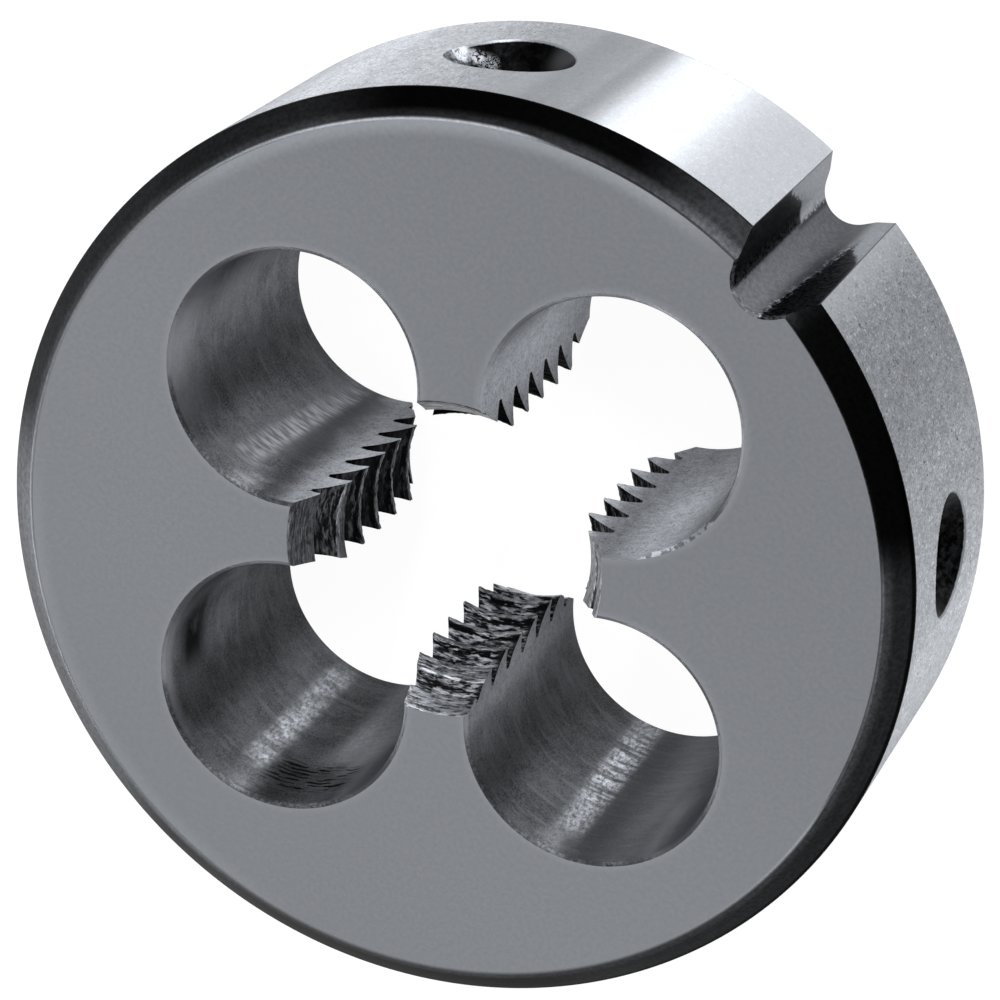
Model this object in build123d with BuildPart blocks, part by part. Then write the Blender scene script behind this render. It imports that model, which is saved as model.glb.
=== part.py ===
"""Round threading die, M10 x 1.5, 30 mm across and 11 mm thick.

Millimetres, +Z up. The origin is the centre of the back face, on which the die lies.
The face that meets the work is on top, and the rim groove is at the front, near -Y.
"""
import os
from math import acos, ceil, cos, degrees, radians, sin, tan

from build123d import *

# Disc
outside_diameter = 30.0
thickness = 11.0
rim_chamfer_width = 0.85
rim_chamfer_height = 0.7

# Thread, right-handed
thread_diameter = 10.0  # of the rod that is cut
thread_pitch = 1.5
thread_angle = 60.0
thread_crest_flat = thread_pitch / 8
thread_root_flat = thread_pitch / 8
thread_root_clearance = 0.08  # of the grooves' bottoms round the rod
thread_start_height = 0.5  # of a groove's middle above the back face, on +X

# Throat cones, one at each face
throat_opening = 0.4  # wider than the thread, at the face
work_throat_angle = 55.0
back_throat_angle = 45.0

# Chip holes, which break into the bore and part the thread into lands
chip_hole_count = 4
chip_hole_diameter = 8.25
chip_hole_break_in = 0.86
first_chip_hole_angle = -90.0

# Groove along the rim for the adjusting screw, outside the first chip hole
groove_turn = 2.0  # from the chip hole's middle to the groove's
groove_depth = 1.7
groove_angle = 60.0
groove_root_radius = 1.05

# Dimples in the rim for the holder's screws, in pairs either side of the groove
dimple_diameter = 4.3
dimple_angle = 90.0
closing_dimple_turn = 44.0
fixing_dimple_turn = 136.0

# Sizes that follow
outside_radius = outside_diameter / 2
flank_slope = tan(radians(thread_angle / 2))
thread_depth = (thread_pitch - thread_crest_flat - thread_root_flat) / 2 / flank_slope
bore_radius = thread_diameter / 2 + thread_root_clearance - thread_depth
throat_radius = (thread_diameter + throat_opening) / 2
work_throat_depth = (throat_radius - bore_radius) / tan(radians(work_throat_angle / 2))
back_throat_depth = (throat_radius - bore_radius) / tan(radians(back_throat_angle / 2))
chip_hole_radius = chip_hole_diameter / 2
chip_hole_distance = bore_radius + chip_hole_radius - chip_hole_break_in
land_spacing = 360 / chip_hole_count
groove_direction = first_chip_hole_angle + groove_turn


with BuildPart() as die_body:
    # Disc, turned with its bore, throats and rim chamfers
    with BuildSketch(Plane.XZ):
        with BuildLine():
            Polyline(
                (throat_radius, 0),
                (outside_radius - rim_chamfer_width, 0),
                (outside_radius, rim_chamfer_height),
                (outside_radius, thickness - rim_chamfer_height),
                (outside_radius - rim_chamfer_width, thickness),
                (throat_radius, thickness),
                (bore_radius, thickness - work_throat_depth),
                (bore_radius, back_throat_depth),
                close=True,
            )
        make_face()
    revolve(axis=Axis.Z)

    # Chip holes
    with PolarLocations(chip_hole_distance, chip_hole_count, first_chip_hole_angle):
        Hole(chip_hole_radius)

    # Thread: one groove is swept across a land, and repeated over the lands and up the bore.
    # It starts and ends in the chip holes, clear of the walls.
    squares = chip_hole_distance**2 + bore_radius**2 - chip_hole_radius**2
    half_gap = degrees(acos(squares / (2 * chip_hole_distance * bore_radius)))
    entry_turn = half_gap * 0.8
    sweep_turn = land_spacing - 2 * entry_turn
    mouth_half = (thread_pitch - thread_crest_flat) / 2
    root_half = thread_root_flat / 2
    outer_half = (mouth_half + thread_pitch / 2) / 2
    mouth_clearance = (outer_half - mouth_half) / flank_slope
    with BuildPart(mode=Mode.PRIVATE) as land_groove:
        with BuildLine():
            helix = Helix(thread_pitch, thread_pitch * sweep_turn / 360, bore_radius)
        with BuildSketch(Plane(helix @ 0, x_dir=(1, 0, 0), z_dir=helix % 0)):
            Polygon(
                (thread_depth, root_half),
                (-mouth_clearance, outer_half),
                (-mouth_clearance, -outer_half),
                (thread_depth, -root_half),
                align=None,
            )
        sweep(path=helix, is_frenet=True)
    spare_rows = 2
    rows = range(-spare_rows, ceil(thickness / thread_pitch) + spare_rows)
    for land in range(chip_hole_count):
        start_angle = first_chip_hole_angle + land * land_spacing + entry_turn
        start_height = thread_start_height + thread_pitch * start_angle / 360
        heights = [start_height % thread_pitch + row * thread_pitch for row in rows]
        with Locations([Location((0, 0, height), (0, 0, start_angle)) for height in heights]):
            add(land_groove.part, mode=Mode.SUBTRACT)

    # Rim groove, a V with a rounded root
    groove_floor = outside_radius - groove_depth
    flare = radians(groove_angle / 2)
    tangent_x = groove_floor + groove_root_radius * (1 - sin(flare))
    tangent_y = groove_root_radius * cos(flare)
    mouth_x = outside_radius + groove_depth
    mouth_y = tangent_y + (mouth_x - tangent_x) * tan(flare)
    with BuildSketch(Plane.XY.rotated((0, 0, groove_direction))):
        with BuildLine():
            ThreePointArc((tangent_x, -tangent_y), (groove_floor, 0), (tangent_x, tangent_y))
            Polyline(
                (tangent_x, tangent_y),
                (mouth_x, mouth_y),
                (mouth_x, -mouth_y),
                (tangent_x, -tangent_y),
            )
        make_face()
    extrude(amount=thickness, mode=Mode.SUBTRACT)

    # Dimples, cones that point at the axis from halfway up the rim
    dimple_slope = tan(radians(dimple_angle / 2))
    dimple_depth = dimple_diameter / 2 / dimple_slope
    cone_height = dimple_depth * 1.5
    for turn in (closing_dimple_turn, -closing_dimple_turn, fixing_dimple_turn, -fixing_dimple_turn):
        outward = Vector(1, 0, 0).rotate(Axis.Z, groove_direction + turn)
        tip = outward * (outside_radius - dimple_depth) + Vector(0, 0, thickness / 2)
        with Locations(Plane(tip, z_dir=outward)):
            Cone(
                0,
                cone_height * dimple_slope,
                cone_height,
                align=(Align.CENTER, Align.CENTER, Align.MIN),
                mode=Mode.SUBTRACT,
            )

os.makedirs("parts", exist_ok=True)
die_body.part.label = "die_body"
export_step(die_body.part, "parts/die_body.step")
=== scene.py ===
"""Looks of a round threading die, M10 x 1.5: worn edges, torn thread, ground and oxide steel.

Lengths are in millimetres on the part's own axes, unless a name or comment says otherwise.
Azimuths are in degrees from +X towards +Y, and the rim groove is near -90. Tones are linear
levels of grey. In the comments, left, right and back are on the plan with the groove in front.
"""
from math import acos, cos, pi, radians, sin, tan

import bmesh
import bpy
import numpy as np
from mathutils import Matrix, Vector


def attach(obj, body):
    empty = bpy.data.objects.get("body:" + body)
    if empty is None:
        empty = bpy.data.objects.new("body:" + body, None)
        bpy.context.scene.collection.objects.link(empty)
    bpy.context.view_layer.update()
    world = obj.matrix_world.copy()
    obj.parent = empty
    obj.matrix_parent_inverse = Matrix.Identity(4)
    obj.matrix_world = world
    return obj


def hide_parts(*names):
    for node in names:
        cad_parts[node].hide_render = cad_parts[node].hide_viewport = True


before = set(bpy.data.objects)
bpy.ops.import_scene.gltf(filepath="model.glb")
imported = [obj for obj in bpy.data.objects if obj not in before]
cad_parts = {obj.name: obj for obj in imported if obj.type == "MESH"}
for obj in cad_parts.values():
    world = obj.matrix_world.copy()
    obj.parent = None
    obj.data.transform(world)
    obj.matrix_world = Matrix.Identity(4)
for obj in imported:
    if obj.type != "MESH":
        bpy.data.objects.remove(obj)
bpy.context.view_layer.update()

MM = 0.001  # metres
rng = np.random.RandomState(11)

# The CAD model's sizes
RIM_R = 15.0
HEIGHT = 11.0
CHAMFER_W = 0.85
CHAMFER_H = 0.7
THREAD_D = 10.0
PITCH = 1.5
FLANK_SLOPE = tan(radians(30))
CREST_FLAT = PITCH / 8
ROOT_FLAT = PITCH / 8
ROOT_CLEARANCE = 0.08
THREAD_START = 0.5  # height of a thread groove's middle, on +X
THREAD_DEPTH = (PITCH - CREST_FLAT - ROOT_FLAT) / 2 / FLANK_SLOPE
BORE_R = THREAD_D / 2 + ROOT_CLEARANCE - THREAD_DEPTH
THROAT_R = 5.2
WORK_SLOPE = tan(radians(27.5))
BACK_SLOPE = tan(radians(22.5))
HOLE_R = 4.125
HOLE_BREAK_IN = 0.86
HOLE_DISTANCE = BORE_R + HOLE_R - HOLE_BREAK_IN
HOLE_CENTRES = [
    (HOLE_DISTANCE * cos(radians(a)), HOLE_DISTANCE * sin(radians(a))) for a in (-90, 0, 90, 180)
]
GROOVE_ANGLE = -88.0
GROOVE_FLARE = radians(30)
GROOVE_DEPTH = 1.7
GROOVE_ROOT_R = 1.05
DIMPLE_R = 2.15
DIMPLE_TURNS = (44, -44, 136, -136)
TORN_DIMPLE = DIMPLE_TURNS[0]

# Rounded edges and wear, too fine for the CAD model
FACE_EDGE_R = 0.2
RIM_EDGE_R = 0.12
HOLE_EDGE_R = 0.14
GROOVE_EDGE_R = 0.1
THROAT_EDGE_H = 0.07
THROAT_EDGE_W = 0.035
CREST_WEAR = 0.028
GROOVE_KINK_R = 14.95  # where the rim groove's mouth opens wider
GROOVE_MOUTH_FLARE = radians(57)
DIMPLE_TEAR = 0.14  # share of the radius by which the torn dimple's end reaches further
# Random lines along the thread: depth, degrees between knots, and number of knots
STREAK_DEPTH, STREAK_STEP, STREAK_KNOTS = 0.012, 7.0, 1200
TEAR_DEPTH, TEAR_STEP, TEAR_KNOTS = 0.018, 1.6, 3600
TEAR_REACH = 0.15  # of the crests' tears down the flanks

# The cutters' ends, and the fineness of the meshes
OVERRUN = 0.3  # past both faces
RIM_OVERRUN = 1.2  # past the rim
DISC_SEGMENTS = 400
DISC_ROWS = 12
HOLE_SEGMENTS = 200
THROAT_SEGMENTS = 180
GROOVE_STEPS = 18
DIMPLE_SEGMENTS = 72
DIMPLE_RINGS = (0.06, 0.5, 1.0, 1.5, 2.0, 2.6, 3.4)  # distances from the apex
SHARP_ANGLE = 24  # degrees between faces

# Surfaces, in the order of their material slots
SURFACE_COUNT = 7
FACE, RIM, CHAMFER, HOLE, THREAD, GROOVE, DIMPLE = range(SURFACE_COUNT)

# Colours
STEEL_TINT = (0.96, 1.0, 1.085)
RIM_TINT = (0.96, 1.0, 1.065)

# Bands round the rim made paler or darker in tone, painted highlights and painted shade:
# azimuth, half the width and softness in degrees, and change of tone as a share
RIM_PAINTED_BANDS = (
    (252, 7, 6, -0.1),
    (284, 6, 3, 0.12),
    (299.2, 1, 1.2, 0.12),
    (301.5, 0.4, 1.9, -0.2),
    (305.5, 2.5, 2.5, -0.15),
    (342, 7, 5, 0.2),
)

# Stage: white to the camera, and a diffuse surface to everything else
FLOOR_REACH = 1.5  # metres
FLOOR_TONE = 0.8
SHADOW_TONE = 0.12  # of the part of the white that the lamps make, so that shadows show
FLOOR_GLOW = 0.945
WORLD_STRENGTH = 0.38

# Lamps: name, azimuth, elevation, width and height in degrees, radiance, distance in metres
LAMPS = (
    ("key", 306.5, 52, 8, 30, 24, 0.18),
    ("band", 303.3, 9, 8, 9, 42, 0.5),
    ("fill", 277, 42, 30, 24, 5.6, 0.5),
    ("side", 2, 45, 36, 24, 5.5, 0.5),
    ("back", 187, 52, 48, 22, 4.8, 0.5),
    ("low", 66, 8, 26, 10, 9, 0.5),
)

# The camera that was fitted to the photo
PHOTO_PX = 1000
FOCAL_PX = 3923.464
SENSOR_WIDTH = 36
CAMERA_CLIP = (0.01, 10)  # metres
CAMERA_PLACE = (5.24515221, -57.60676971, 119.39376599)
CAMERA_RIGHT = (-0.63542044, -0.70052382, -0.32481879)
CAMERA_UP = (0.77111914, -0.55378282, -0.31416533)
CAMERA_BACK = (0.04020123, -0.45010106, 0.89207225)


# ---------------------------------------------------------------- meshes
def mesh_object(name, verts, faces, slots):
    """A mesh object in millimetres, with the surface number of each face."""
    mesh = bpy.data.meshes.new(name)
    mesh.from_pydata([tuple(v) for v in verts], [], [tuple(f) for f in faces])
    for _ in range(SURFACE_COUNT):
        mesh.materials.append(None)
    mesh.polygons.foreach_set("material_index", np.array(slots, np.int32))
    mesh.update()
    obj = bpy.data.objects.new(name, mesh)
    bpy.context.scene.collection.objects.link(obj)
    return obj


def loft(name, rings, band_slots, cap_slots):
    """A closed solid through equal rings of points, with a face at each end."""
    count = len(rings[0])
    verts = [p for ring in rings for p in ring]
    faces, slots = [], []
    for k in range(len(rings) - 1):
        low, high = k * count, (k + 1) * count
        for i in range(count):
            j = (i + 1) % count
            faces.append((low + i, low + j, high + j, high + i))
            slots.append(band_slots[k])
    faces.append(tuple(reversed(range(count))))
    faces.append(tuple(range((len(rings) - 1) * count, len(rings) * count)))
    slots += list(cap_slots)
    return mesh_object(name, verts, faces, slots)


def turned(name, profile, band_slots, cap_slots, segments):
    """A solid of revolution about Z from (radius, height) points, lowest first."""
    turns = [2 * pi * i / segments for i in range(segments)]
    rings = [[(r * cos(a), r * sin(a), z) for a in turns] for r, z in profile]
    return loft(name, rings, band_slots, cap_slots)


def turned_cutter(name, profile, surface, segments):
    """A solid of revolution that leaves the same surface everywhere."""
    bands = [surface] * (len(profile) - 1)
    return turned(name, profile, bands, (surface, surface), segments)


def corner_arc(before, corner, after, radius, steps):
    """Points of the arc that rounds a corner of a profile, from the first side to the second."""
    p, c, q = (np.array(v, float) for v in (before, corner, after))
    u = (p - c) / np.linalg.norm(p - c)
    v = (q - c) / np.linalg.norm(q - c)
    half = acos(float(np.clip(u @ v, -1, 1))) / 2
    reach = radius / tan(half)
    middle = c + (u + v) / np.linalg.norm(u + v) * radius / sin(half)
    start, end = c + u * reach - middle, c + v * reach - middle
    sweep = pi - 2 * half
    points = []
    for i in range(steps + 1):
        t = i / steps
        w = (sin((1 - t) * sweep) * start + sin(t * sweep) * end) / sin(sweep)
        points.append(tuple(middle + w))
    return points


def disc():
    """The blank, with its chamfers rounded into the faces and the rim."""
    corners = [(0, 0), (RIM_R - CHAMFER_W, 0), (RIM_R, CHAMFER_H), (RIM_R, HEIGHT / 2)]
    lower = corner_arc(*corners[:3], FACE_EDGE_R, 6) + corner_arc(*corners[1:], RIM_EDGE_R, 4)
    upper = [(r, HEIGHT - z) for r, z in reversed(lower)]
    low_z, high_z = lower[-1][1], upper[0][1]
    wall = [(RIM_R, low_z + (high_z - low_z) * i / DISC_ROWS) for i in range(1, DISC_ROWS)]
    chamfer_slots = [CHAMFER] * (len(lower) - 1)
    slots = chamfer_slots + [RIM] * DISC_ROWS + chamfer_slots
    return turned("disc", lower + wall + upper, slots, (FACE, FACE), DISC_SEGMENTS)


def edge_break(outward, break_r):
    """(outward, height) pairs that carry a cutter's wall out through both faces."""
    steps = 5
    top = []
    for i in range(steps + 1):
        a = pi / 2 * i / steps
        top.append((break_r * (1 - cos(a)), HEIGHT - break_r + break_r * sin(a)))
    top.append((break_r + OVERRUN, HEIGHT + OVERRUN))
    bottom = [(o, HEIGHT - z) for o, z in reversed(top)]
    return [(o + outward, z) for o, z in bottom + top]


def chip_hole(cx, cy):
    """A chip hole, from under the die to above it."""
    obj = turned_cutter("chip_hole", edge_break(HOLE_R, HOLE_EDGE_R), HOLE, HOLE_SEGMENTS)
    obj.data.transform(Matrix.Translation((cx, cy, 0)))
    return obj


def thread_rows(mouth):
    """Heights of the mesh's rows across one pitch, from the middle of a thread groove."""
    root = mouth - THREAD_DEPTH * FLANK_SLOPE
    steps = 9
    start = mouth - CREST_WEAR
    flank = [start + (root - mouth + CREST_WEAR) * i / steps for i in range(steps + 1)]
    half = [mouth + CREST_WEAR] + flank
    # A row beside each crest's middle keeps it flat
    crest = PITCH / 2 - 0.07
    return np.array([-PITCH / 2, -crest] + [-v for v in half] + [0.0] + half[::-1] + [crest])


def bore_columns():
    """Azimuths of the bore's columns, close together on the lands and sparse between them."""
    half_land, land_columns, gap_steps = 23.1, 67, 8
    gap = 90 - 2 * half_land
    columns = []
    for middle in (45, 135, 225, 315):
        columns += [middle + a for a in np.linspace(-half_land, half_land, land_columns)]
        columns += [middle + half_land + gap * i / gap_steps for i in range(1, gap_steps)]
    return np.array(sorted(c % 360 for c in columns))


def smooth_noise(knots, at):
    """Values of a random line with the given knots, eased between them."""
    low = np.floor(at).astype(int) % len(knots)
    t = at - np.floor(at)
    t = t * t * (3 - 2 * t)
    return knots[low] * (1 - t) + knots[(low + 1) % len(knots)] * t


def tapped_bore():
    """The bore, its thread and its throats: one solid whose rows follow the helix."""
    mouth = (PITCH - CREST_FLAT) / 2
    offsets = thread_rows(mouth)
    rows = len(offsets)
    columns = bore_columns()
    count = len(columns)
    turns = range(-2, 9)
    z_low, z_high = -OVERRUN, HEIGHT + OVERRUN
    streaks = rng.uniform(-1, 1, (rows, STREAK_KNOTS))
    tears = rng.uniform(-1, 1, (rows, TEAR_KNOTS))
    grid = {}
    for turn in turns:
        for row, s in enumerate(offsets):
            z = THREAD_START + PITCH * (turn + columns / 360) + s
            depth = np.clip((mouth - abs(s)) / FLANK_SLOPE, 0, THREAD_DEPTH)
            along = (turn - turns.start + 1) * 360 + columns
            streak = smooth_noise(streaks[row], along / STREAK_STEP)
            tear = smooth_noise(tears[row], along / TEAR_STEP)
            near_crest = float(abs(s) > mouth - TEAR_REACH)
            thread = BORE_R + depth + STREAK_DEPTH * streak + TEAR_DEPTH * near_crest * tear
            for j in range(count):
                zj = min(max(z[j], z_low), z_high)
                cone = THROAT_R - min(BACK_SLOPE * zj, WORK_SLOPE * (HEIGHT - zj))
                grid[j, turn * rows + row] = (zj, max(thread[j], cone))

    # A column has one vertex at each end, however many rows run past it
    keys = range(turns.start * rows, turns.stop * rows)
    index, verts = {}, []
    for k in keys:
        for j in range(count):
            zj, r = grid[j, k]
            tag = (j, zj) if zj in (z_low, z_high) else (j, k)
            if tag not in index:
                index[tag] = len(verts)
                a = radians(columns[j])
                verts.append((r * cos(a), r * sin(a), zj))
            grid[j, k] = index[tag]

    # After the last column comes the first, one turn of rows higher
    faces = []
    for k in keys[:-1]:
        for j in range(count):
            if j + 1 < count:
                right = [grid[j + 1, k], grid[j + 1, k + 1]]
            else:
                right = [grid[0, min(k + rows + n, keys[-1])] for n in (0, 1)]
            quad = [grid[j, k], right[0], right[1], grid[j, k + 1]]
            ring = [v for i, v in enumerate(quad) if v != quad[i - 1]]
            if len(set(ring)) >= 3:
                faces.append(tuple(ring))
    faces.append(tuple(index[j, z_low] for j in reversed(range(count))))
    faces.append(tuple(index[j, z_high] for j in range(count)))
    return mesh_object("tapped_bore", verts, faces, [THREAD] * len(faces))


def throat_edge():
    """A shallow cone that breaks the throats' edges at both faces."""
    overlap = 0.002
    mouth_r, outer_r = THROAT_R + THROAT_EDGE_W, THROAT_R + 0.33
    back_r = THROAT_R - BACK_SLOPE * THROAT_EDGE_H - overlap
    work_r = THROAT_R - WORK_SLOPE * THROAT_EDGE_H - overlap
    # A waist inside the bore keeps the two ends in one solid
    waist_r, waist_z = BORE_R - 0.5, 1.2
    profile = [
        (outer_r, -OVERRUN),
        (mouth_r, 0),
        (back_r, THROAT_EDGE_H),
        (waist_r, waist_z),
        (waist_r, HEIGHT - waist_z),
        (work_r, HEIGHT - THROAT_EDGE_H),
        (mouth_r, HEIGHT),
        (outer_r, HEIGHT + OVERRUN),
    ]
    return turned_cutter("throat_edge", profile, THREAD, THROAT_SEGMENTS)


def rim_groove():
    """The adjusting groove: a V with a rounded root along the rim."""
    floor = RIM_R - GROOVE_DEPTH
    span = pi / 2 - GROOVE_FLARE
    root = []
    for i in range(GROOVE_STEPS + 1):
        a = -span + 2 * span * i / GROOVE_STEPS
        root.append((floor + GROOVE_ROOT_R * (1 - cos(a)), GROOVE_ROOT_R * sin(a)))
    tangent_x, tangent_y = root[-1]
    kink_y = tangent_y + (GROOVE_KINK_R - tangent_x) * tan(GROOVE_FLARE)
    out = RIM_R + RIM_OVERRUN
    out_y = kink_y + (out - GROOVE_KINK_R) * tan(GROOVE_MOUTH_FLARE)
    outline = [(out, -out_y), (GROOVE_KINK_R, -kink_y)] + root
    outline += [(GROOVE_KINK_R, kink_y), (out, out_y)]
    normals = []
    for i in range(len(outline)):
        before = outline[max(i - 1, 0)]
        after = outline[min(i + 1, len(outline) - 1)]
        along = Vector(after) - Vector(before)
        normals.append(Vector((-along.y, along.x)).normalized())
    c, s = cos(radians(GROOVE_ANGLE)), sin(radians(GROOVE_ANGLE))
    rings = []
    for outward, z in edge_break(0, GROOVE_EDGE_R):
        ring = []
        for point, normal in zip(outline, normals):
            x, y = point[0] + normal.x * outward, point[1] + normal.y * outward
            ring.append((x * c - y * s, x * s + y * c, z))
        rings.append(ring)
    return loft("rim_groove", rings, [GROOVE] * (len(rings) - 1), (GROOVE, GROOVE))


def dimple(turn):
    """A cone that points at the axis from halfway up the rim, a little out of round."""
    angle = radians(GROOVE_ANGLE + turn)
    outward = Vector((cos(angle), sin(angle), 0))
    tangent = Vector((-sin(angle), cos(angle), 0))
    apex = RIM_R - DIMPLE_R
    rings = []
    for out in DIMPLE_RINGS:
        ring = []
        for i in range(DIMPLE_SEGMENTS):
            a = 2 * pi * i / DIMPLE_SEGMENTS
            wobble = 1 + 0.004 * sin(3 * a + turn) + 0.003 * sin(7 * a + 2 * turn)
            if turn == TORN_DIMPLE:
                wobble += DIMPLE_TEAR * max(0, cos(a)) ** 8 * min(out / DIMPLE_R, 1)
            aside = tangent * cos(a) + Vector((0, 0, sin(a)))
            p = outward * (apex + out) + aside * out * wobble
            ring.append((p.x, p.y, p.z + HEIGHT / 2))
        rings.append(ring)
    return loft("dimple", rings, [DIMPLE] * (len(rings) - 1), (DIMPLE, DIMPLE))


def cut(body, cutter):
    """Takes the cutter out of the body for good."""
    for obj in (body, cutter):
        work = bmesh.new()
        work.from_mesh(obj.data)
        bmesh.ops.recalc_face_normals(work, faces=work.faces)
        work.to_mesh(obj.data)
        work.free()
    modifier = body.modifiers.new("cut", "BOOLEAN")
    modifier.operation = "DIFFERENCE"
    modifier.solver = "MANIFOLD"
    modifier.object = cutter
    graph = bpy.context.evaluated_depsgraph_get()
    result = bpy.data.meshes.new_from_object(body.evaluated_get(graph))
    body.modifiers.clear()
    old = body.data
    body.data = result
    bpy.data.meshes.remove(old)
    bpy.data.objects.remove(cutter)


body = disc()
cutters = [chip_hole(*centre) for centre in HOLE_CENTRES]
cutters += [tapped_bore(), throat_edge(), rim_groove()]
cutters += [dimple(turn) for turn in DIMPLE_TURNS]
for cutter in cutters:
    cut(body, cutter)

body.name = "die_steel_body"
body.data.transform(Matrix.Scale(MM, 4))
body.data.set_sharp_from_angle(angle=radians(SHARP_ANGLE))
slots = np.zeros(len(body.data.polygons), np.int32)
body.data.polygons.foreach_get("material_index", slots)
body.data.polygons.foreach_set("use_smooth", slots != FACE)
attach(body, "root")
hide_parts("die_body")


# ---------------------------------------------------------------- materials
class Nodes:
    """Builds a material's nodes; a value that goes in may be a number, a tuple or a socket."""

    def __init__(self, name):
        self.material = bpy.data.materials.new(name)
        self.material.use_nodes = True
        self.tree = self.material.node_tree
        self.tree.nodes.clear()
        self.out = self.node("OutputMaterial")
        # Millimetres along the part's own axes
        metres = self.node("TexCoord").outputs["Object"]
        self.place = self.vector("SCALE", metres, scale=1 / MM)
        self.x, self.y, self.z = self.node("SeparateXYZ", Vector=self.place).outputs

    def put(self, socket, value):
        if isinstance(value, bpy.types.NodeSocket):
            self.tree.links.new(value, socket)
        else:
            socket.default_value = value

    def node(self, kind, **inputs):
        """A new shader node, with values or sockets in its named inputs."""
        node = self.tree.nodes.new("ShaderNode" + kind)
        for name, value in inputs.items():
            self.put(node.inputs[name], value)
        return node

    def math(self, operation, *values):
        node = self.node("Math")
        node.operation = operation
        for socket, value in zip(node.inputs, values):
            self.put(socket, value)
        return node.outputs[0]

    def vector(self, operation, *values, scale=None):
        node = self.node("VectorMath")
        node.operation = operation
        for socket, value in zip(node.inputs, values):
            self.put(socket, value)
        if scale is not None:
            self.put(node.inputs["Scale"], scale)
        return node.outputs["Value" if operation == "DISTANCE" else "Vector"]

    def plus(self, a, b):
        return self.math("ADD", a, b)

    def minus(self, a, b):
        return self.math("SUBTRACT", a, b)

    def times(self, first, *others):
        for value in others:
            first = self.math("MULTIPLY", first, value)
        return first

    def over(self, a, b):
        return self.math("DIVIDE", a, b)

    def larger(self, a, b):
        return self.math("MAXIMUM", a, b)

    def apart(self, a, b):
        return self.math("ABSOLUTE", self.minus(a, b))

    def inverse(self, mask):
        return self.minus(1.0, mask)

    def centred(self, noise, size):
        """Noise that swings either side of 0 instead of 0.5."""
        return self.times(self.minus(noise, 0.5), size)

    def combine(self, x, y, z):
        return self.node("CombineXYZ", X=x, Y=y, Z=z).outputs[0]

    def stretched(self, upright):
        """The place for a noise that is this much finer upright than across."""
        return self.combine(self.x, self.y, self.times(self.z, upright))

    def noise(self, scale, detail=2.0, roughness=0.5, distortion=0.0, at=None):
        vector = self.place if at is None else at
        node = self.node("TexNoise", Vector=vector, Scale=scale, Detail=detail)
        node.inputs["Roughness"].default_value = roughness
        node.inputs["Distortion"].default_value = distortion
        return node.outputs["Fac"]

    def ramp(self, value, low, high, start=0.0, end=1.0):
        """Eases from start at low to end at high."""
        node = self.node("MapRange")
        node.interpolation_type = "SMOOTHSTEP"
        for socket, v in zip(node.inputs, (value, low, high, start, end)):
            self.put(socket, v)
        return node.outputs[0]

    def blend(self, factor, a, b):
        """A colour between two."""
        node = self.node("Mix")
        node.data_type = "RGBA"
        self.put(node.inputs[0], factor)
        for socket, value in ((node.inputs[6], a), (node.inputs[7], b)):
            is_socket = isinstance(value, bpy.types.NodeSocket)
            self.put(socket, value if is_socket else (*value, 1.0))
        return node.outputs[2]

    def lerp(self, factor, a, b):
        """A value between two."""
        node = self.node("Mix")
        for socket, value in ((node.inputs[0], factor), (node.inputs[2], a), (node.inputs[3], b)):
            self.put(socket, value)
        return node.outputs[0]

    def scaled(self, mask, tone, share):
        """The tone, times a share where the mask is 1."""
        return self.lerp(mask, tone, self.times(tone, share))

    def tinted(self, tone, tint=STEEL_TINT):
        """A steel grey of a tone that varies."""
        return self.combine(*[self.times(tone, t) for t in tint])

    def dot(self, x, y, azimuth):
        """How far (x, y) reaches towards an azimuth."""
        a = radians(azimuth)
        return self.plus(self.times(x, cos(a)), self.times(y, sin(a)))

    def radius(self, cx=0.0, cy=0.0):
        """Distance from an upright line."""
        dx, dy = self.minus(self.x, cx), self.minus(self.y, cy)
        return self.math("SQRT", self.plus(self.times(dx, dx), self.times(dy, dy)))

    def within(self, reach, half, soft):
        """1 where a cosine is that of half degrees or fewer, 0 from soft degrees further on."""
        return self.ramp(reach, cos(radians(half + soft)), cos(radians(half)))

    def arc(self, azimuth, half, soft):
        """1 within half degrees of an azimuth of the part, 0 from soft degrees further on."""
        return self.within(self.over(self.dot(self.x, self.y, azimuth), self.radius()), half, soft)

    def spot(self, point, inner, outer):
        """1 within inner millimetres of a point, 0 from outer on."""
        return self.ramp(self.vector("DISTANCE", self.place, point), outer, inner)

    def rows(self, low, high, soft):
        """1 between two heights, 0 from soft millimetres beyond them."""
        above = self.ramp(self.z, low - soft, low)
        return self.times(above, self.ramp(self.z, high + soft, high))

    def bump(self, height, strength, distance, normal=None):
        node = self.node("Bump", Strength=strength, Distance=distance * MM, Height=height)
        if normal is not None:
            self.put(node.inputs["Normal"], normal)
        return node.outputs[0]

    def steel(self, colour, roughness, normal, lay=0.0, edge=1.0):
        """The finish; lay draws it out along the part's axis, edge is its tone at a low look."""
        shader = self.node("BsdfPrincipled", Metallic=1.0, Roughness=roughness, Normal=normal)
        self.put(shader.inputs["Base Color"], colour)
        shader.inputs["Specular Tint"].default_value = (edge, edge, edge, 1)
        if lay:
            shader.inputs["Anisotropic"].default_value = lay
            self.put(shader.inputs["Tangent"], self.combine(0.0, 0.0, 1.0))
        self.put(self.out.inputs["Surface"], shader.outputs[0])
        return self.material


def grey(value):
    return tuple(value * t for t in STEEL_TINT)


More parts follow.
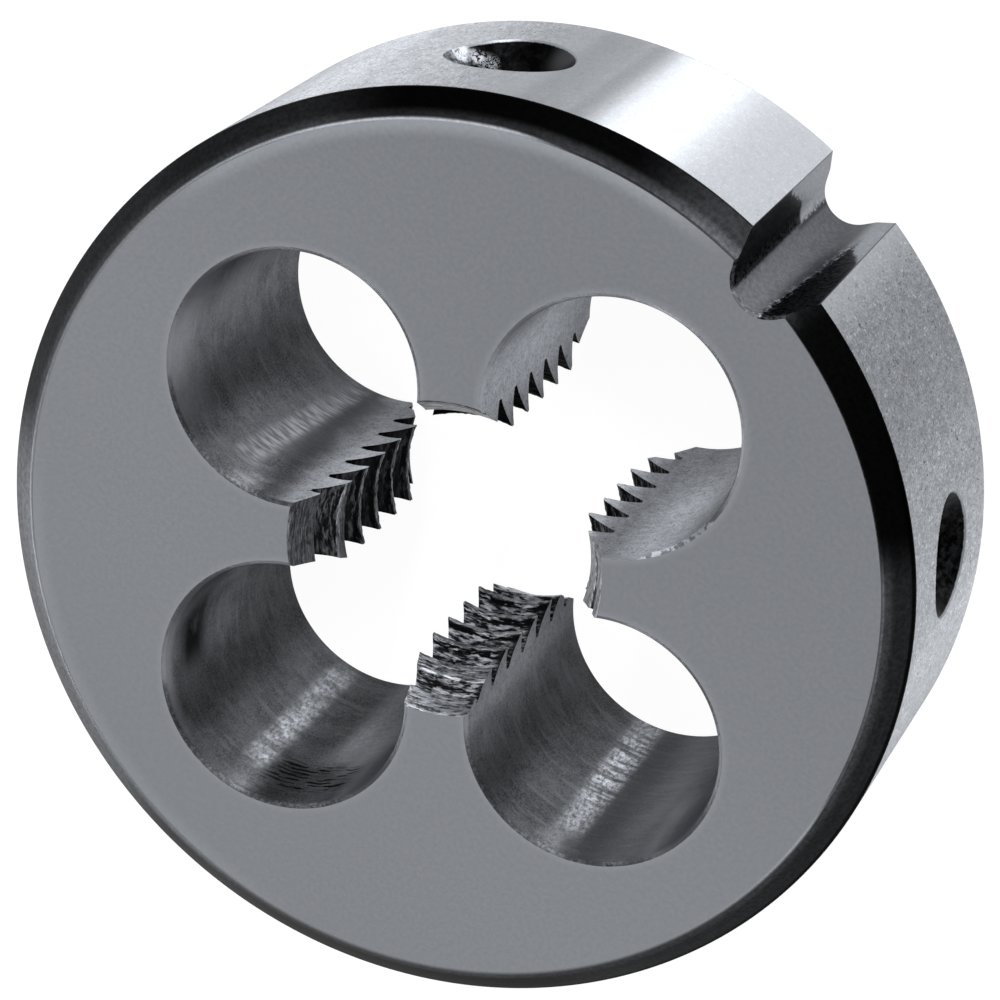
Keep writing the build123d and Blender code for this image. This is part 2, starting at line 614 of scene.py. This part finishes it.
def face_steel():
    n = Nodes("ground_face")
    fine = n.noise(7.0, 3.0, 0.6)
    broad = n.noise(0.12, 1.0)
    tone = n.blend(fine, grey(0.465), grey(0.50))
    tone = n.blend(n.ramp(broad, 0.35, 0.65, 0.0, 0.25), tone, grey(0.515))
    # Darker towards the groove: painted shade
    tone = n.blend(n.ramp(n.y, 7.0, -13.0), tone, grey(0.39))
    # Paler where the edges are rubbed bright round the holes, and along two sides of the rim in a
    # painted highlight
    near = 0.0
    for cx, cy in HOLE_CENTRES:
        near = n.larger(near, n.ramp(n.radius(cx, cy), HOLE_R + 0.4, HOLE_R + 0.1))
    tone = n.blend(n.times(near, 0.3), tone, grey(0.68))
    painted_highlight_sides = n.larger(n.times(n.arc(318, 28, 14), 0.9), n.times(n.arc(76, 22, 20), 0.55))
    border = n.times(n.ramp(n.radius(), 13.5, 14.05), painted_highlight_sides)
    tone = n.blend(border, tone, grey(0.60))
    rough = n.ramp(fine, 0.3, 0.7, 0.35, 0.39)
    normal = n.bump(n.noise(16.0, 2.0), 0.12, 0.01)
    return n.steel(tone, rough, normal)


def rim_steel():
    n = Nodes("ground_rim")
    drawn = n.stretched(0.55)
    grain = n.noise(13.0, 3.0, 0.7, at=drawn)
    mottle = n.noise(4.0, 3.0, 0.65, at=drawn)
    specks = n.noise(8.0, 1.0, 0.5, at=drawn)
    # Ground smoother beside the groove
    smooth = n.arc(289, 21, 8)
    tone = n.lerp(n.ramp(grain, 0.3, 0.7), 0.29, 0.53)
    tone = n.times(tone, n.ramp(mottle, 0.34, 0.66, 0.86, 1.14))
    glints = n.times(n.ramp(specks, 0.36, 0.30), n.lerp(n.arc(337, 24, 8), 0.7, 0.3))
    tone = n.lerp(glints, tone, 0.78)
    pits = n.ramp(specks, 0.67, 0.72, 0.0, 0.8)
    tone = n.lerp(pits, tone, 0.10)
    # Darker round azimuth 230: painted shade
    tone = n.scaled(n.times(n.arc(230, 5, 7), 0.6), tone, 0.68)
    tone = n.lerp(n.times(smooth, 0.75), tone, 0.42)
    # Painted highlights and painted shade in bands round the rim
    for azimuth, half, soft, share in RIM_PAINTED_BANDS:
        tone = n.times(tone, n.lerp(n.arc(azimuth, half, soft), 1.0, 1.0 + share))
    texture = n.times(grain, n.inverse(n.times(smooth, 0.95)))
    rough = n.lerp(smooth, 0.50, 0.42)
    return n.steel(n.tinted(tone, RIM_TINT), rough, n.bump(texture, 0.3, 0.01), lay=1.0)


def chamfer_steel():
    n = Nodes("dark_chamfer")
    grain = n.noise(7.0, 4.0, 0.65)
    r = n.radius()
    turn = n.math("ARCTAN2", n.y, n.x)
    lines = n.noise(1.0, 3.0, 0.6, at=n.combine(n.times(turn, 5.0), n.times(r, 9.0), 0.0))
    # The oxide is worn thinner towards the face. It is paler towards the back right and darker at
    # the back left, front left, front right under the key lamp, and right: painted highlight and
    # painted shade
    inner = n.lerp(n.arc(71, 24, 15), 0.055, 0.135)
    outer = n.lerp(n.arc(64, 18, 14), 0.022, 0.12)
    outer = n.lerp(n.arc(132, 15, 12), outer, 0.008)
    painted_shade_under_key = n.arc(308, 14, 14)
    outer = n.lerp(painted_shade_under_key, outer, 0.001)
    inner = n.lerp(painted_shade_under_key, inner, 0.016)
    tone = n.lerp(n.ramp(r, 14.24, 14.5), inner, outer)
    # Painted shade on the front left and the right
    tone = n.lerp(n.arc(251, 13, 8), tone, 0.002)
    tone = n.scaled(n.arc(340, 11, 10), tone, 0.65)
    tone = n.times(tone, n.ramp(lines, 0.3, 0.7, 0.88, 1.12))
    tone = n.times(tone, n.ramp(grain, 0.3, 0.7, 0.7, 1.3))
    # A dark brink where it meets the rim on the left: painted shade
    painted_shade_brink = n.times(n.ramp(r, 14.86, 14.92), n.arc(200, 35, 20))
    tone = n.scaled(painted_shade_brink, tone, 0.15)
    # The edge along the face is rubbed bright, with a ragged border; narrower on the front left
    # and dimmer on the right: painted shade
    ragged = n.plus(r, n.centred(grain, 0.06))
    ragged = n.plus(ragged, n.times(n.arc(252, 46, 12), 0.11))
    worn = n.ramp(ragged, 14.24, 14.08)
    right_side = n.lerp(n.arc(358, 14, 12), 0.40, 0.30)
    tone = n.lerp(worn, tone, n.lerp(n.arc(36, 12, 10), right_side, 0.31))
    return n.steel(n.tinted(tone), 0.45, n.bump(lines, 0.15, 0.02), edge=0.7)


def hole_steel():
    n = Nodes("drilled_holes")
    grain = n.noise(14.0, 3.0, 0.7)
    blotch = n.noise(0.8, 3.0, 0.6)
    broad = n.noise(0.5, 1.0)
    pits = n.noise(7.0, 3.0, 0.7)
    sand = n.ramp(n.noise(8.0, 4.0, 0.75, at=n.stretched(0.5)), 0.25, 0.75)
    ribs = n.ramp(n.noise(1.5, 2.0, 0.5, at=n.stretched(4.5)), 0.34, 0.66)
    # Tool marks run round each hole
    lay = n.combine(n.times(n.x, 0.7), n.times(n.y, 0.7), n.times(n.z, 2.8))
    marks = n.noise(1.0, 3.0, 0.6, at=lay)
    bars = n.ramp(n.noise(1.3, 1.0, 0.5, at=lay), 0.38, 0.62)
    # Scores: even strokes, broken into dashes
    sway = n.times(n.noise(1.3, 2.0), 9.0)
    strokes = n.math("SINE", n.math("MULTIPLY_ADD", n.z, 23.0, sway))
    dashes = n.ramp(n.noise(1.7, 1.0, 0.4, at=n.stretched(3.2)), 0.46, 0.53)
    dashes = n.times(dashes, n.ramp(strokes, -0.25, 0.25))

    # The hole a point is nearest to and its place across that hole, then 1 beside each hole
    sideways = n.math("GREATER_THAN", n.math("ABSOLUTE", n.x), n.math("ABSOLUTE", n.y))
    cx = n.times(sideways, n.math("SIGN", n.x), HOLE_DISTANCE)
    cy = n.times(n.inverse(sideways), n.math("SIGN", n.y), HOLE_DISTANCE)
    across = (n.over(n.minus(n.x, cx), HOLE_R), n.over(n.minus(n.y, cy), HOLE_R))
    beside = [n.ramp(n.radius(*centre), 4.6, 4.5) for centre in HOLE_CENTRES]
    groove_hole, right_hole, back_hole, left_hole = beside
    other_holes = n.inverse(groove_hole)

    def wall(hole, facing, half, soft, *heights, lean=0.0):
        """1 on the part of a hole's wall within half degrees of facing an azimuth.

        It fades over soft degrees. heights are the lowest, the highest and the fade beyond
        them. The azimuth turns by lean degrees with each millimetre down from mid-height.
        """
        reach = n.times(n.dot(*across, facing), -1.0)
        if lean:
            turn = n.times(n.minus(HEIGHT / 2, n.z), radians(lean))
            reach = n.math("MULTIPLY_ADD", n.dot(*across, facing + 90), turn, reach)
            reach = n.over(reach, n.math("SQRT", n.math("MULTIPLY_ADD", turn, turn, 1.0)))
        part = n.times(hole, n.within(reach, half, soft))
        return n.times(part, n.rows(*heights)) if heights else part

    # Oxide with pale and dark grains and pale tool marks
    tone = n.lerp(n.ramp(blotch, 0.35, 0.65), 0.065, 0.11)
    tone = n.lerp(n.ramp(grain, 0.42, 0.7, 0.0, 0.7), tone, 0.18)
    tone = n.lerp(n.ramp(grain, 0.44, 0.3, 0.0, 0.7), tone, 0.02)
    tone = n.lerp(n.ramp(marks, 0.52, 0.68, 0.0, 0.4), tone, 0.20)

    # Left hole: a paler patch, a painted highlight; and each hole's general tone,
    # darker in the back hole, painted shade
    clear = wall(left_hole, 330, 26, 6)
    tone = n.lerp(clear, tone, n.math("MULTIPLY_ADD", tone, 0.35, 0.05))
    tone = n.times(tone, n.lerp(right_hole, n.lerp(back_hole, 1.08, 0.85), 1.08))

    # Right hole: a ribbed pale stripe, a painted highlight, between darker ones, painted shade,
    # with a paler patch and a paler foot, painted highlights
    stripe_lean = -1.3
    tone = n.lerp(wall(right_hole, 190, 10, 14), tone, 0.12)
    painted_shade_beside_streak = wall(right_hole, 277, 2, 5, lean=stripe_lean)
    tone = n.lerp(painted_shade_beside_streak, tone, n.math("MULTIPLY_ADD", tone, 0.7, 0.04))
    painted_streak = wall(right_hole, 287.5, 0.0, 9, 0.6, 9.1, 0.7, lean=stripe_lean)
    tone = n.lerp(painted_streak, tone, n.lerp(ribs, 0.11, 0.25))
    tone = n.lerp(wall(right_hole, 298, 0.0, 8.5, -1.0, 5.5, 4.0, lean=stripe_lean), tone, 0.08)
    tone = n.lerp(wall(right_hole, 318, 12, 10, 0.0, 4.5, 3.0), tone, 0.15)

    # Back hole: a sandy glow down the wall, a painted highlight, among paler and darker bands of
    # painted highlight and painted shade, with scores and a dark smear near the edge
    tone = n.lerp(wall(back_hole, 190, 12, 10), tone, 0.14)
    tone = n.lerp(wall(back_hole, 352, 14, 12, -1.0, 8.0, 2.0), tone, 0.16)
    tone = n.lerp(wall(back_hole, 334, 10, 10, 0.0, 5.0, 3.0), tone, n.lerp(sand, 0.12, 0.22))
    grit = n.times(sand, n.lerp(n.rows(2.0, 6.0, 2.0), 0.75, n.lerp(bars, 0.3, 1.25)))
    # The glow: a painted highlight
    glow = wall(back_hole, 290.5, 0, 10, 1.2, 8.6, 1.6)
    glow = n.times(glow, glow)
    uneven = n.ramp(n.noise(1.6, 2.0, 0.6), 0.35, 0.6, 0.7, 1.1)
    uneven = n.times(n.lerp(bars, 0.75, 1.1), uneven)
    tone = n.lerp(glow, tone, n.times(n.lerp(sand, 0.09, 0.46), uneven))
    tone = n.scaled(wall(back_hole, 314, 9, 8, -1.0, 6.8, 1.5), tone, 1.3)
    tone = n.scaled(wall(back_hole, 322, 14, 12, 8.8, 10.2, 1.2), tone, 0.6)
    scored = n.times(wall(back_hole, 322, 16, 12, 8.0, 9.7, 0.4), dashes)
    tone = n.lerp(scored, tone, 0.002)
    smear = wall(back_hole, 220, 4, 18, 8.4, 9.0, 1.2)
    smear = n.times(smear, n.ramp(blotch, 0.25, 0.5, 0.6, 1.0))
    tone = n.lerp(smear, tone, 0.006)

    # Left hole: a glow broken into bars, a painted highlight
    painted_highlight_bars = wall(left_hole, 300, 0, 11.5, -1.0, 8.8, 1.6)
    painted_highlight_bars = n.times(n.times(painted_highlight_bars, painted_highlight_bars), n.inverse(wall(left_hole, 322, 12, 4)))
    tone = n.lerp(painted_highlight_bars, tone, n.lerp(grit, 0.04, 0.62))

    # Painted highlight: the left hole's wall away from the bore, and the back hole's wall facing
    # the same way, are paler near the edge
    painted_highlight_facing_right = wall(other_holes, 2, 14, 12, 7.5, 12.0, 2.5)
    tone = n.lerp(painted_highlight_facing_right, tone, n.lerp(right_hole, 0.17, tone))

    # Mouths into the bore ground paler; how far and how pale differ from hole to hole and side
    # to side, reaching all round the mouth of the hole beside the rim groove: painted highlight
    # over the ground finish
    bright = n.lerp(n.ramp(n.x, -2.0, 2.0), 0.66, 0.48)
    bright = n.lerp(groove_hole, bright, n.ramp(n.x, -1.0, 1.0, 0.40, 0.355))
    bright = n.lerp(left_hole, bright, 0.22)
    ground = n.times(n.ramp(grain, 0.3, 0.7, 0.66, 1.0), bright)
    ground = n.times(ground, n.ramp(pits, 0.30, 0.48, 0.6, 1.05))
    ground = n.times(ground, n.ramp(n.noise(2.5, 3.0, 0.7), 0.3, 0.7, 0.86, 1.14))
    border = n.plus(n.radius(), n.centred(blotch, 1.2))
    border = n.minus(border, n.times(groove_hole, 3.2))
    tone = n.lerp(n.ramp(border, 6.3, 5.4), tone, ground)

    # Edges rubbed bright, with gaps; the pale band down the right hole's wall below its edge, and
    # a narrower one in the back hole, are painted highlights
    height = n.plus(n.z, n.centred(broad, 0.12))
    height = n.plus(height, n.centred(grain, 0.12))
    right_lip = wall(right_hole, 218, 30, 16)
    right_lip = n.times(right_lip, n.ramp(height, HEIGHT - 3.0, HEIGHT - 0.4))
    back_lip = wall(back_hole, 215, 42, 12)
    back_lip = n.times(back_lip, n.ramp(height, HEIGHT - 0.9, HEIGHT - 0.2))
    tone = n.lerp(n.times(n.larger(right_lip, back_lip), 0.55), tone, 0.30)
    burr = n.ramp(n.noise(4.0, 2.0, 0.5), 0.44, 0.54)
    nicks = n.ramp(n.noise(7.0, 3.0, 0.6), 0.44, 0.60)
    worn = n.lerp(wall(other_holes, 290, 50, 10), 0.26, n.lerp(nicks, 0.10, 0.18))
    worn = n.lerp(groove_hole, worn, 0.37)
    worn = n.lerp(wall(groove_hole, 354, 16, 5), worn, n.lerp(burr, 0.30, 0.72))
    tone = n.lerp(n.ramp(height, HEIGHT - 0.13, HEIGHT - 0.05), tone, worn)
    tone = n.lerp(n.ramp(height, 0.12, 0.03), tone, 0.48)

    normal = n.bump(marks, 0.6, 0.03)
    normal = n.bump(n.noise(2.6, 2.0, 0.5), 0.5, 0.03, normal)
    normal = n.bump(grain, 0.4, 0.012, normal)
    return n.steel(n.tinted(tone), 0.54, normal, lay=1.0)


def thread_steel():
    n = Nodes("cut_thread")
    turn = n.math("ARCTAN2", n.y, n.x)
    r = n.radius()
    # Streaks follow the helix
    rise = n.minus(n.z, n.times(turn, PITCH / (2 * pi)))
    along = n.combine(n.times(turn, 8.0), r, n.times(rise, 14.0))
    streak = n.noise(1.3, 4.0, 0.62, 0.3, at=along)
    grain = n.noise(9.0, 3.0, 0.6)
    # The streaks are bright on the left lands and dark on the right ones: painted highlight and
    # painted shade
    back_right, front_right = n.arc(45, 30, 8), n.arc(-45, 30, 8)
    bright = n.lerp(back_right, 0.25, n.ramp(n.z, 6.5, 9.5, 0.015, 0.07))
    bright = n.lerp(n.arc(180, 30, 4), bright, 0.02)
    bright = n.lerp(front_right, bright, 0.01)
    tone = n.lerp(n.ramp(streak, 0.44, 0.66), 0.003, bright)
    tone = n.lerp(n.ramp(grain, 0.35, 0.7, 0.0, 0.3), tone, 0.012)
    # Each crest is a thin pale line, rubbed bright and a painted highlight, beside a dark one,
    # painted shade under the crest
    under = n.ramp(r, BORE_R + 0.05, BORE_R + 0.09)
    under = n.times(under, n.ramp(r, BORE_R + 0.26, BORE_R + 0.18))
    tone = n.lerp(n.times(under, n.ramp(streak, 0.62, 0.5)), tone, 0.002)
    crest_wear_and_highlight = n.times(n.ramp(r, BORE_R + 0.045, BORE_R + 0.015), n.ramp(streak, 0.35, 0.55))
    crest_wear_and_highlight = n.times(crest_wear_and_highlight, n.lerp(front_right, 0.8, 0.1))
    tone = n.lerp(crest_wear_and_highlight, tone, n.lerp(back_right, 0.24, 0.17))
    # The throats keep the paler turned finish, less pale on the back right land: painted shade
    work_drop = n.times(n.minus(HEIGHT, n.z), WORK_SLOPE)
    cone = n.minus(THROAT_R, n.math("MINIMUM", work_drop, n.times(n.z, BACK_SLOPE)))
    mixed = n.lerp(0.35, streak, n.noise(4.0, 3.0, 0.6))
    dark, pale = n.lerp(back_right, 0.04, 0.07), n.lerp(back_right, 0.46, 0.22)
    throat = n.lerp(n.ramp(mixed, 0.40, 0.58), dark, pale)
    tone = n.lerp(n.ramp(n.apart(r, cone), 0.06, 0.03), tone, throat)
    return n.steel(n.tinted(tone), 0.38, n.bump(streak, 0.8, 0.04))


def groove_steel():
    n = Nodes("dark_groove")
    grain = n.noise(7.0, 4.0, 0.65)
    rough = n.centred(grain, 0.4)
    # Distance from the groove's middle, towards the right
    c, s = cos(radians(GROOVE_ANGLE)), sin(radians(GROOVE_ANGLE))
    side = n.plus(n.minus(n.times(n.y, c), n.times(n.x, s)), rough)
    # Black walls either side of a paler floor, painted shade with a slanted edge like a cast
    # shadow; the walls are pale again near the back face
    end = n.minus(n.plus(n.z, rough), n.ramp(side, 0.9, 1.55, 0.0, 2.5))
    right_painted_shade = n.times(n.ramp(side, 0.46, 0.54), n.ramp(end, 3.05, 3.35))
    slant = 0.0646
    leaf = n.math("MULTIPLY_ADD", n.z, -slant, 0.62 + slant * 10.6)
    over = n.minus(n.times(side, -1.0), leaf)
    left_painted_shade = n.times(n.ramp(over, -0.04, 0.04), n.ramp(n.plus(n.z, rough), 1.9, 2.3))
    outer = n.plus(side, n.ramp(n.z, 3.0, 6.5, 1.2, 1.62))
    left_painted_shade = n.times(left_painted_shade, n.ramp(outer, 0.0, 0.08))
    groove_painted_shade = n.larger(right_painted_shade, left_painted_shade)
    tone = n.lerp(n.ramp(grain, 0.35, 0.7), 0.17, 0.25)
    # A dark line along the foot of the right wall: painted shade in the crease
    crease_shade = n.times(n.ramp(n.apart(side, 0.42), 0.1, 0.03), n.ramp(n.z, 4.0, 3.2))
    tone = n.lerp(n.times(crease_shade, 0.6), tone, 0.05)
    pale = n.larger(n.ramp(side, 0.46, 0.6), n.ramp(side, -0.95, -1.2))
    tone = n.lerp(pale, tone, n.ramp(grain, 0.3, 0.7, 0.44, 0.62))
    tone = n.lerp(groove_painted_shade, tone, n.ramp(grain, 0.35, 0.65, 0.008, 0.08))
    # Pale flecks along the border of the left wall's painted shade
    chips = n.ramp(n.noise(6.0, 2.0, 0.6), 0.53, 0.58)
    fleck = n.times(n.ramp(n.math("ABSOLUTE", n.plus(over, 0.04)), 0.09, 0.04), chips)
    fleck = n.times(fleck, n.ramp(n.z, 2.4, 3.0))
    tone = n.lerp(fleck, tone, 0.6)
    # Edges along the face and along the rim
    lip = n.ramp(n.plus(n.z, n.times(rough, 0.5)), HEIGHT - 0.16, HEIGHT - 0.08)
    lip = n.times(lip, n.ramp(n.radius(), 14.2, 14.0))
    tone = n.lerp(n.times(lip, n.inverse(groove_painted_shade)), tone, n.lerp(chips, 0.13, 0.24))
    tone = n.lerp(n.ramp(n.radius(), 14.91, 14.97), tone, 0.25)
    return n.steel(n.tinted(tone), n.lerp(lip, 0.34, 0.7), n.bump(grain, 0.4, 0.015), edge=0.35)


def dimple_steel():
    n = Nodes("dark_dimple")
    grain = n.noise(7.0, 4.0, 0.65)
    tears = n.noise(6.0, 4.0, 0.75, 0.6)
    cloud = n.noise(3.0, 3.0, 0.7)

    def torn_spot(turn, radius, z, inner, outer):
        """A spot in the torn dimple, by its turn from the dimple's middle."""
        a = radians(GROOVE_ANGLE + TORN_DIMPLE + turn)
        return n.spot((radius * cos(a), radius * sin(a), z), inner, outer)

    # Oxide near black, paler in the dimples on the left side: painted highlight
    tone = n.lerp(n.ramp(cloud, 0.40, 0.65), 0.001, n.ramp(n.x, 0.0, -3.0, 0.004, 0.016))
    tone = n.times(tone, n.ramp(grain, 0.35, 0.65, 0.6, 1.4))
    tone = n.lerp(torn_spot(-5.4, 14.75, 4.1, 0.2, 0.95), tone, 0.045)
    # Outline rubbed pale
    outline = n.ramp(n.plus(n.radius(), n.times(grain, 0.06)), 14.95, 14.99)
    tone = n.lerp(n.times(outline, 0.7), tone, 0.45)
    # The torn end, with its two bright faces and the curls below them: raw torn steel, made near
    # white as a painted highlight
    torn = torn_spot(8.6, 15.0, 5.4, 0.7, 1.0)
    tone = n.lerp(torn, tone, n.ramp(tears, 0.38, 0.62, 0.02, 0.34))
    upper = torn_spot(7.3, 14.97, 4.95, 0.28, 0.5)
    tone = n.lerp(upper, tone, n.ramp(tears, 0.36, 0.48, 0.25, 0.95))
    lower = torn_spot(5.9, 14.65, 4.62, 0.12, 0.42)
    tone = n.lerp(lower, tone, n.ramp(tears, 0.44, 0.56, 0.01, 0.6))
    curls = n.ramp(n.apart(tears, 0.5), 0.03, 0.012)
    curls = n.times(curls, torn_spot(4.7, 14.4, 4.5, 0.15, 0.5))
    tone = n.lerp(curls, tone, 0.35)
    normal = n.bump(grain, 0.3, 0.015)
    normal = n.bump(n.times(tears, torn), 0.8, 0.15, normal)
    return n.steel(n.tinted(tone), n.lerp(torn, 0.42, 0.5), normal, edge=0.7)


finishes = (
    face_steel,
    rim_steel,
    chamfer_steel,
    hole_steel,
    thread_steel,
    groove_steel,
    dimple_steel,
)
for surface, finish in enumerate(finishes):
    body.data.materials[surface] = finish()


# ---------------------------------------------------------------- stage
def white_stage():
    """A white surface that shows white to the camera and in the metal, and keeps the shadow."""
    n = Nodes("white_stage")
    path = n.node("LightPath").outputs
    seen = n.larger(path["Is Camera Ray"], path["Is Glossy Ray"])
    seen = n.larger(seen, path["Is Transmission Ray"])
    plain = n.node("BsdfDiffuse", Color=(FLOOR_TONE, FLOOR_TONE, FLOOR_TONE, 1))
    shaded = n.node("BsdfDiffuse", Color=(SHADOW_TONE, SHADOW_TONE, SHADOW_TONE, 1))
    glow = n.node("Emission", Strength=FLOOR_GLOW)
    both, mix = n.node("AddShader"), n.node("MixShader", Fac=seen)
    n.put(both.inputs[0], shaded.outputs[0])
    n.put(both.inputs[1], glow.outputs[0])
    n.put(mix.inputs[1], plain.outputs[0])
    n.put(mix.inputs[2], both.outputs[0])
    n.put(n.out.inputs["Surface"], mix.outputs[0])
    return n.material


def floor():
    """The ground the die lies on."""
    signs = ((-1, -1), (1, -1), (1, 1), (-1, 1))
    corners = [(x * FLOOR_REACH, y * FLOOR_REACH, 0) for x, y in signs]
    mesh = bpy.data.meshes.new("floor")
    mesh.from_pydata(corners, [], [(0, 1, 2, 3)])
    mesh.materials.append(white_stage())
    obj = bpy.data.objects.new("floor", mesh)
    bpy.context.scene.collection.objects.link(obj)


def studio():
    """The even white light from all round."""
    world = bpy.data.worlds.new("studio")
    bpy.context.scene.world = world
    world.use_nodes = True
    background = world.node_tree.nodes["Background"]
    background.inputs["Color"].default_value = (1, 1, 1, 1)
    background.inputs["Strength"].default_value = WORLD_STRENGTH


def softbox(name, azimuth, elevation, wide, tall, radiance, distance):
    """A lamp that spans so many degrees of azimuth and elevation, as seen from the die."""
    a, e = radians(azimuth), radians(elevation)
    data = bpy.data.lights.new(name, "AREA")
    data.shape = "RECTANGLE"
    data.size = 2 * distance * tan(radians(wide / 2)) * cos(e)
    data.size_y = 2 * distance * tan(radians(tall / 2))
    data.energy = radiance * pi * data.size * data.size_y
    lamp = bpy.data.objects.new(name, data)
    bpy.context.scene.collection.objects.link(lamp)
    place = Vector((cos(a) * cos(e), sin(a) * cos(e), sin(e)))
    lamp.location = place * distance
    lamp.rotation_euler = place.to_track_quat("Z", "Y").to_euler()


def photo_camera():
    """The camera at the photo's place."""
    data = bpy.data.cameras.new("camera")
    camera = bpy.data.objects.new("camera", data)
    bpy.context.scene.collection.objects.link(camera)
    data.sensor_width = SENSOR_WIDTH
    data.lens = FOCAL_PX * SENSOR_WIDTH / PHOTO_PX
    data.clip_start, data.clip_end = CAMERA_CLIP
    place = [v * MM for v in CAMERA_PLACE]
    rows = zip(CAMERA_RIGHT, CAMERA_UP, CAMERA_BACK, place)
    camera.matrix_world = Matrix((*rows, (0, 0, 0, 1)))
    return camera


floor()
studio()
for lamp in LAMPS:
    softbox(*lamp)
bpy.context.scene.camera = photo_camera()
bpy.context.scene.view_settings.view_transform = "Standard"
